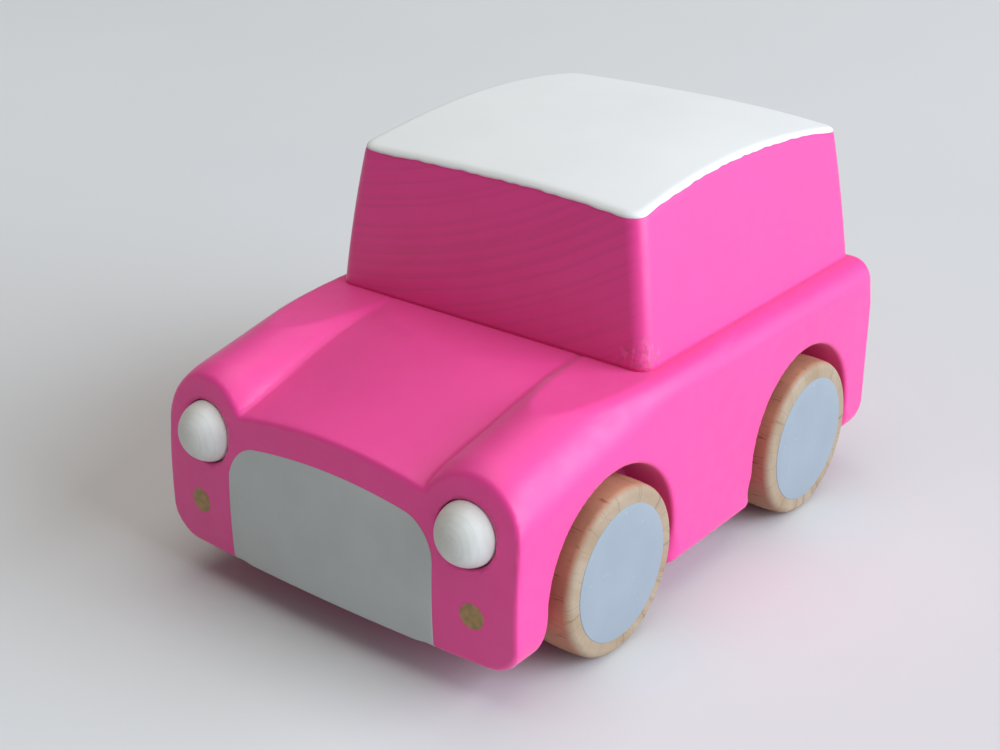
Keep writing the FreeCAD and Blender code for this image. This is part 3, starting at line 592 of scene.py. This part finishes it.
def beech(name="bare_beech", turn=0.0):
    """Bare beech, its grain turned about Y: pale, cracked flat faces and a browner, streaked tread."""
    shader = Shader(name, specular=0.3)
    turned = shader.add("ShaderNodeVectorRotate", rotation_type="Y_AXIS")
    turned.inputs["Angle"].default_value = turn
    shader.feed(turned.inputs["Vector"], shader.place["Object"])
    grain = turned.outputs[0]
    pale, warm, fleck, crack = (0.39, 0.30, 0.21), (0.34, 0.24, 0.15), (0.20, 0.10, 0.06), (0.13, 0.07, 0.04)
    brown, dark = (0.50, 0.25, 0.145), (0.13, 0.05, 0.025)
    bands = shader.noise(1, 3, shader.scaled(grain, (12, 260, 260)), distortion=0.4)
    face = shader.blend(shader.between(bands, 0.35, 0.68), pale, warm)
    flecks = shader.noise(1, 2, shader.scaled(grain, (330, 2400, 2400)))
    face = shader.blend(shader.between(flecks, 0.62, 0.76, 0.0, 0.35), face, fleck)
    facing = shader.math("ABSOLUTE", shader.part(shader.place["Normal"], 1))
    around = shader.math("ARCTAN2", shader.part(grain, 0), shader.part(grain, 2))
    off_line = shader.math("ABSOLUTE", shader.math("SUBTRACT", shader.noise_along(around, 4.0), 0.5))
    cracks = shader.math("MULTIPLY", shader.between(off_line, 0.012, 0.0), shader.noise(160, 1))
    face = shader.blend(shader.math("MULTIPLY", cracks, 0.8), face, crack)
    patches = shader.noise(1, 3, shader.scaled(grain, (150, 90, 150)))
    tread = shader.blend(shader.between(patches, 0.35, 0.65), brown, tuple(c * 0.82 for c in brown))
    streaks = shader.noise(1, 3, shader.scaled(grain, (2400, 210, 2400)), distortion=0.2)
    tread = shader.blend(shader.between(streaks, 0.56, 0.74, 0.0, 0.6), tread, dark)
    shader.colour(shader.blend(shader.between(facing, 0.1, 0.95), tread, face))
    shader.bump(flecks, 0.00003, 0.5)
    shader.bump(streaks, 0.00005, 0.5)
    shader.roughness(shader.between(bands, 0.3, 0.7, 0.5, 0.62))
    return shader.material


def moulded_plastic(name, colour, roughness):
    """Moulded plastic with the fine spark texture of its tool."""
    shader = Shader(name)
    worn = tuple(min(1.0, c * 1.25 + 0.01) for c in colour)
    shader.colour(shader.blend(shader.between(shader.noise(60, 4), 0.45, 0.75), colour, worn))
    shader.bump(shader.noise(2500, 2), 0.00002, 0.6)
    shader.roughness(shader.between(shader.noise(200, 3), 0.3, 0.7, roughness - 0.06, roughness + 0.08))
    return shader.material


def drawn_steel(name, colour, direction):
    """Bright metal with fine drawing lines along one axis."""
    shader = Shader(name)
    shader.surface.inputs["Metallic"].default_value = 1.0
    scale = [3000.0, 3000.0, 3000.0]
    scale[direction] = 60.0
    lines = shader.noise(1, 3, shader.stretch(tuple(scale)))
    shader.colour(shader.blend(shader.between(lines, 0.35, 0.65), colour, tuple(c * 0.82 for c in colour)))
    shader.roughness(shader.between(lines, 0.3, 0.7, 0.24, 0.42))
    shader.bump(lines, 0.000008, 0.5)
    return shader.material


def floor_paper():
    shader = Shader("floor_paper", roughness=0.85, specular=0.2)
    cloud = shader.noise(3.0, 4)
    shader.colour(shader.blend(shader.between(cloud, 0.3, 0.7), (0.70, 0.70, 0.70), (0.665, 0.665, 0.67)))
    shader.bump(shader.noise(90, 3), 0.0002, 0.15)
    return shader.material


# ---- visible pieces ----

def body_piece(material):
    low, high = body_low - 1.5, body_high + 1.5
    points, quads = contour(lower_body_field, low, high, GRID)
    piece = make_object("painted_body", points, quads, material, normals=slope_of(lower_body_field, points))
    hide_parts("lower_body")
    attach(piece, "car_body")


def cabin_piece(material):
    low, high = cabin_low - 1.5, cabin_high + 1.5
    points, quads = contour(cabin_field, low, high, GRID)
    piece = make_object("painted_cabin", points, quads, material, normals=slope_of(cabin_field, points))
    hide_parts("cabin_block")
    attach(piece, "car_body")


def surface_along(field, start, directions, reach):
    """Where rays from a point inside a shape leave it."""
    near = np.zeros(directions.shape[:-1])
    far = np.full(directions.shape[:-1], reach)
    for _ in range(24):
        middle = (near + far) / 2
        inside = field(start + directions * middle[..., None]) < 0
        near = np.where(inside, middle, near)
        far = np.where(inside, far, middle)
    return start + directions * near[..., None]


def ragged(angle, seed):
    """A brush line's wander, from about -1 to 1."""
    waves = sum(math.sin(seed * k) * np.sin(k * angle + seed * k * k) / k ** 0.4 for k in range(7, 90, 4))
    return waves / 3


def roof_piece(material):
    """The roof's paint: a film with a rounded, slightly ragged lower edge."""
    columns, rows = 1200, 44
    start = np.array([ROOF_MIDDLE_X, 0, SHOULDER_Z + 8])
    turn = np.arange(columns) * 2 * math.pi / columns

    def at(tilt):
        flat = np.sin(tilt)
        directions = np.stack([flat * np.cos(turn), flat * np.sin(turn), np.cos(tilt)], -1)
        return surface_along(cabin_field, start, directions, 80.0)

    low_tilt, high_tilt = np.full(columns, 0.6), np.full(columns, 1.5)
    for _ in range(22):
        tilt = (low_tilt + high_tilt) / 2
        place = at(tilt)
        to_side = ease(np.abs(place[:, 1]), *PAINT_SIDES_Y)
        wrap = PAINT_WRAP_ENDS + (PAINT_WRAP_SIDES - PAINT_WRAP_ENDS) * to_side
        edge = roof_z(place[:, 0], place[:, 1]) - wrap + PAINT_RAGGED * ragged(turn, 1.7)
        above = place[:, 2] > edge
        low_tilt = np.where(above, tilt, low_tilt)
        high_tilt = np.where(above, high_tilt, tilt)
    # The rings stand close together where the film's edge and the roof's edge round over.
    lift = [0.0, 0.5 * ROOF_FILM, 0.85 * ROOF_FILM] + [ROOF_FILM] * (rows - 3)
    step = np.concatenate([[0, 0.0012, 0.0035], np.linspace(0.08, 1, rows - 3) ** 2])
    rings = []
    for share, height in zip(step, lift):
        ring = at(low_tilt * (1 - share) + 0.0005 * share)
        rings.append(ring + slope_of(cabin_field, ring) * height)
    points = np.concatenate(rings + [rings[0] - 0.15 * slope_of(cabin_field, rings[0])])
    faces = film_faces(rows, columns, True)
    faces += [tuple((rows - 1) * columns + j for j in range(columns))]
    piece = make_object("roof_film", points, faces, material)
    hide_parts("roof_paint")
    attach(piece, "car_body")


def grille_piece(material):
    """The grille's paint, which follows the front face and turns under its lower edge."""
    rows, columns = 110, 120
    half_width, corner_r = 19.0, 5.0
    side_top, arch_top = 24.55, 26.85
    rim_lift, full_lift = 0.02, 0.08
    floor_z = UNDERSIDE_Z + 2.4
    share = np.linspace(-1, 1, columns)
    across = half_width * np.sign(share) * (1 - (1 - np.abs(share)) ** 1.3)
    top = side_top + (arch_top - side_top) * (1 - (across / half_width) ** 2)
    inset = np.maximum(np.abs(across) - (half_width - corner_r), 0)
    top = top - corner_r + np.sqrt(np.maximum(corner_r ** 2 - inset ** 2, 0))
    film = []
    under = np.radians(np.linspace(54, 3, 18))
    pivot_x = FRONT_X - 5.0
    for angle in under:
        start = np.stack([np.full(columns, pivot_x), across, np.full(columns, floor_z)], -1)
        direction = np.broadcast_to([math.cos(angle), 0, -math.sin(angle)], start.shape)
        film.append(surface_along(lower_body_field, start, direction, 12.0))
    for height in np.linspace(0, 1, rows - len(under)):
        start = np.stack([np.full(columns, pivot_x), across, floor_z + (top - floor_z) * height], -1)
        direction = np.broadcast_to([1.0, 0, 0], start.shape)
        film.append(surface_along(lower_body_field, start, direction, 12.0))
    grid = np.stack(film)
    lift = np.full((rows, columns), full_lift)
    lift[[0, -1], :] = rim_lift
    lift[:, [0, -1]] = rim_lift
    grid = grid + slope_of(lower_body_field, grid) * lift[..., None]
    piece = make_object("grille_film", grid.reshape(-1, 3), film_faces(rows, columns, False), material)
    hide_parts("grille_print")
    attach(piece, "car_body")


def rounded_profile(half, radius, rim):
    """A turned disc's section from one face to the other: (along, radius) with rounded rims."""
    turns = np.radians(np.linspace(0, 90, 10))
    outer = [(half - rim * (1 - math.sin(t)), radius - TREAD_CROWN - rim * (1 - math.cos(t))) for t in turns]
    inner = [(-along, edge_radius) for along, edge_radius in outer[::-1]]
    tread = [(along * (half - rim), radius - TREAD_CROWN * along ** 2) for along in (-0.6, -0.2, 0.2, 0.6)]
    return inner + tread + outer


def wheel_pieces(paint):
    middle = WHEEL_OUTER_Y - WHEEL_WIDTH / 2
    grain = {("front", LEFT): 35, ("rear", LEFT): 78, ("front", RIGHT): 10, ("rear", RIGHT): 130}
    for (end, side), angle in grain.items():
        name = f"{end}_{'left' if side == LEFT else 'right'}"
        body = f"{end}_axle_set"
        origin = np.array([AXLE_X[end], side * middle, WHEEL_R])
        section = rounded_profile(WHEEL_WIDTH / 2, WHEEL_R, WHEEL_RIM_R)
        inner_face = [(-WHEEL_WIDTH / 2, r) for r in (0.6, 4.0, 8.0)]
        outer_face = [(WHEEL_WIDTH / 2, r) for r in (DISC_R, 6.0, 0.6)]
        wood = beech("beech_" + name, math.radians(angle))
        wheel = turned_piece("beech_wheel_" + name, inner_face + section + outer_face, 144, wood, origin, 1)
        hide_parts("wheel_" + name)
        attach(wheel, body)
        wood_y = side * (WHEEL_WIDTH / 2)
        film = [(wood_y, DISC_R), (wood_y + side * 0.7 * DISC_FILM, DISC_R - 0.05)]
        film += [(wood_y + side * DISC_FILM, r) for r in (DISC_R - 0.2, 7.0, 3.0, 0.3)]
        disc = turned_piece("wheel_disc_" + name, film, 144, paint, origin, 1)
        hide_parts("wheel_print_" + name)
        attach(disc, body)


def lamp_pieces(material):
    """Turned domes on plain stems."""
    rim_x = LAMP_TIP_X - DOME_RISE
    turns = np.linspace(math.pi / 2, 0.02, 32)
    dome = [(rim_x + DOME_RISE * math.cos(t), LAMP_R * math.sin(t)) for t in turns]
    bevel, groove = 0.4, 0.6
    stem = [(LAMP_ROOT_X, 0.5), (LAMP_ROOT_X, LAMP_R - bevel), (LAMP_ROOT_X + bevel, LAMP_R)]
    stem.append((rim_x - groove, LAMP_R))
    for side, side_name in ((LEFT, "left"), (RIGHT, "right")):
        origin = np.array([rim_x, side * LAMP_Y, LAMP_Z])
        profile = [(along - rim_x, radius) for along, radius in stem + dome]
        lamp = turned_piece("headlight_dome_" + side_name, profile, 96, material, origin, 0)
        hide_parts("headlight_" + side_name)
        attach(lamp, "car_body")


def dress_cad_nodes(dots, wood, steel_rods, screws, spring, nylon, case):
    """Give each CAD node that stays its finish."""
    finishes = {
        "lamp_dots": dots, "cabin_dowels": wood, "front_axle": steel_rods, "rear_axle": steel_rods,
        "idler_pin": steel_rods, "case_screws": screws, "motor_screws": screws, "mainspring": spring,
    }
    for name in ("front_bush_left", "front_bush_right", "axle_gear", "clutch_pinion", "idler_gear",
                 "spring_gear"):
        finishes[name] = nylon
    for name in ("motor_case_left", "motor_case_right", "motor_mid_plate"):
        finishes[name] = case
    for name, material in finishes.items():
        nodes[name].data.materials.clear()
        nodes[name].data.materials.append(material)


# ---- stage ----

def stage(material):
    """A plain square of floor, in metres."""
    half = 6.0
    mesh = bpy.data.meshes.new("floor")
    corners = [(-half, -half, 0), (half, -half, 0), (half, half, 0), (-half, half, 0)]
    mesh.from_pydata(corners, [], [(0, 1, 2, 3)])
    mesh.materials.append(material)
    floor = bpy.data.objects.new("floor", mesh)
    bpy.context.scene.collection.objects.link(floor)


def aim(thing, target):
    direction = Vector(target) - thing.location
    thing.rotation_euler = direction.to_track_quat("-Z", "Y").to_euler()


def area_light(name, place, target, size, power, colour):
    light = bpy.data.lights.new(name, "AREA")
    light.shape = "RECTANGLE"
    light.size, light.size_y = size
    light.energy = power
    light.color = colour
    lamp = bpy.data.objects.new(name, light)
    lamp.location = place
    bpy.context.scene.collection.objects.link(lamp)
    aim(lamp, target)


def lights():
    middle = (0.0, 0.0, 0.03)
    area_light("window", (-0.75, 2.25, 1.05), middle, (2.8, 2.2), 110.0, (0.81, 0.91, 1.04))
    area_light("ceiling", (-0.3, 0.0, 4.5), middle, (4.5, 4.5), 94.0, (1.0, 0.98, 0.91))
    world = bpy.data.worlds.new("soft_room")
    world.use_nodes = True
    background = world.node_tree.nodes["Background"]
    background.inputs["Color"].default_value = (1.0, 0.975, 0.945, 1)
    background.inputs["Strength"].default_value = 0.20
    bpy.context.scene.world = world
    bpy.context.scene.view_settings.view_transform = "Standard"


def camera():
    data = bpy.data.cameras.new("camera")
    data.lens = 61.03
    viewer = bpy.data.objects.new("camera", data)
    viewer.location = (0.19199, 0.14427, 0.13369)
    bpy.context.scene.collection.objects.link(viewer)
    aim(viewer, (0.00928, 0.00081, 0.0280))
    bpy.context.scene.camera = viewer


camera()
lights()
stage(floor_paper())
body_piece(body_paint())
cabin_piece(cabin_paint())
roof_piece(roof_white())
# The grille and the wheel discs carry one grey print: the grille's grey is painted lighter to make up for
# the shade on the front, and the discs' grey is painted darker against the strong light on the sides.
grille_piece(grey_print("grille_print", (0.53, 0.555, 0.545)))
wheel_pieces(grey_print("disc_print_painted_darker", (0.29, 0.335, 0.375)))
lamp_pieces(lamp_white())
dress_cad_nodes(
    gold_print(), beech(), drawn_steel("drawn_rod", (0.62, 0.62, 0.63), 1),
    drawn_steel("zinc_screw", (0.66, 0.67, 0.70), 2), drawn_steel("spring_strip", (0.30, 0.33, 0.40), 1),
    moulded_plastic("nylon", (0.80, 0.80, 0.76), 0.45),
    moulded_plastic("case_plastic", (0.030, 0.030, 0.033), 0.5),
)
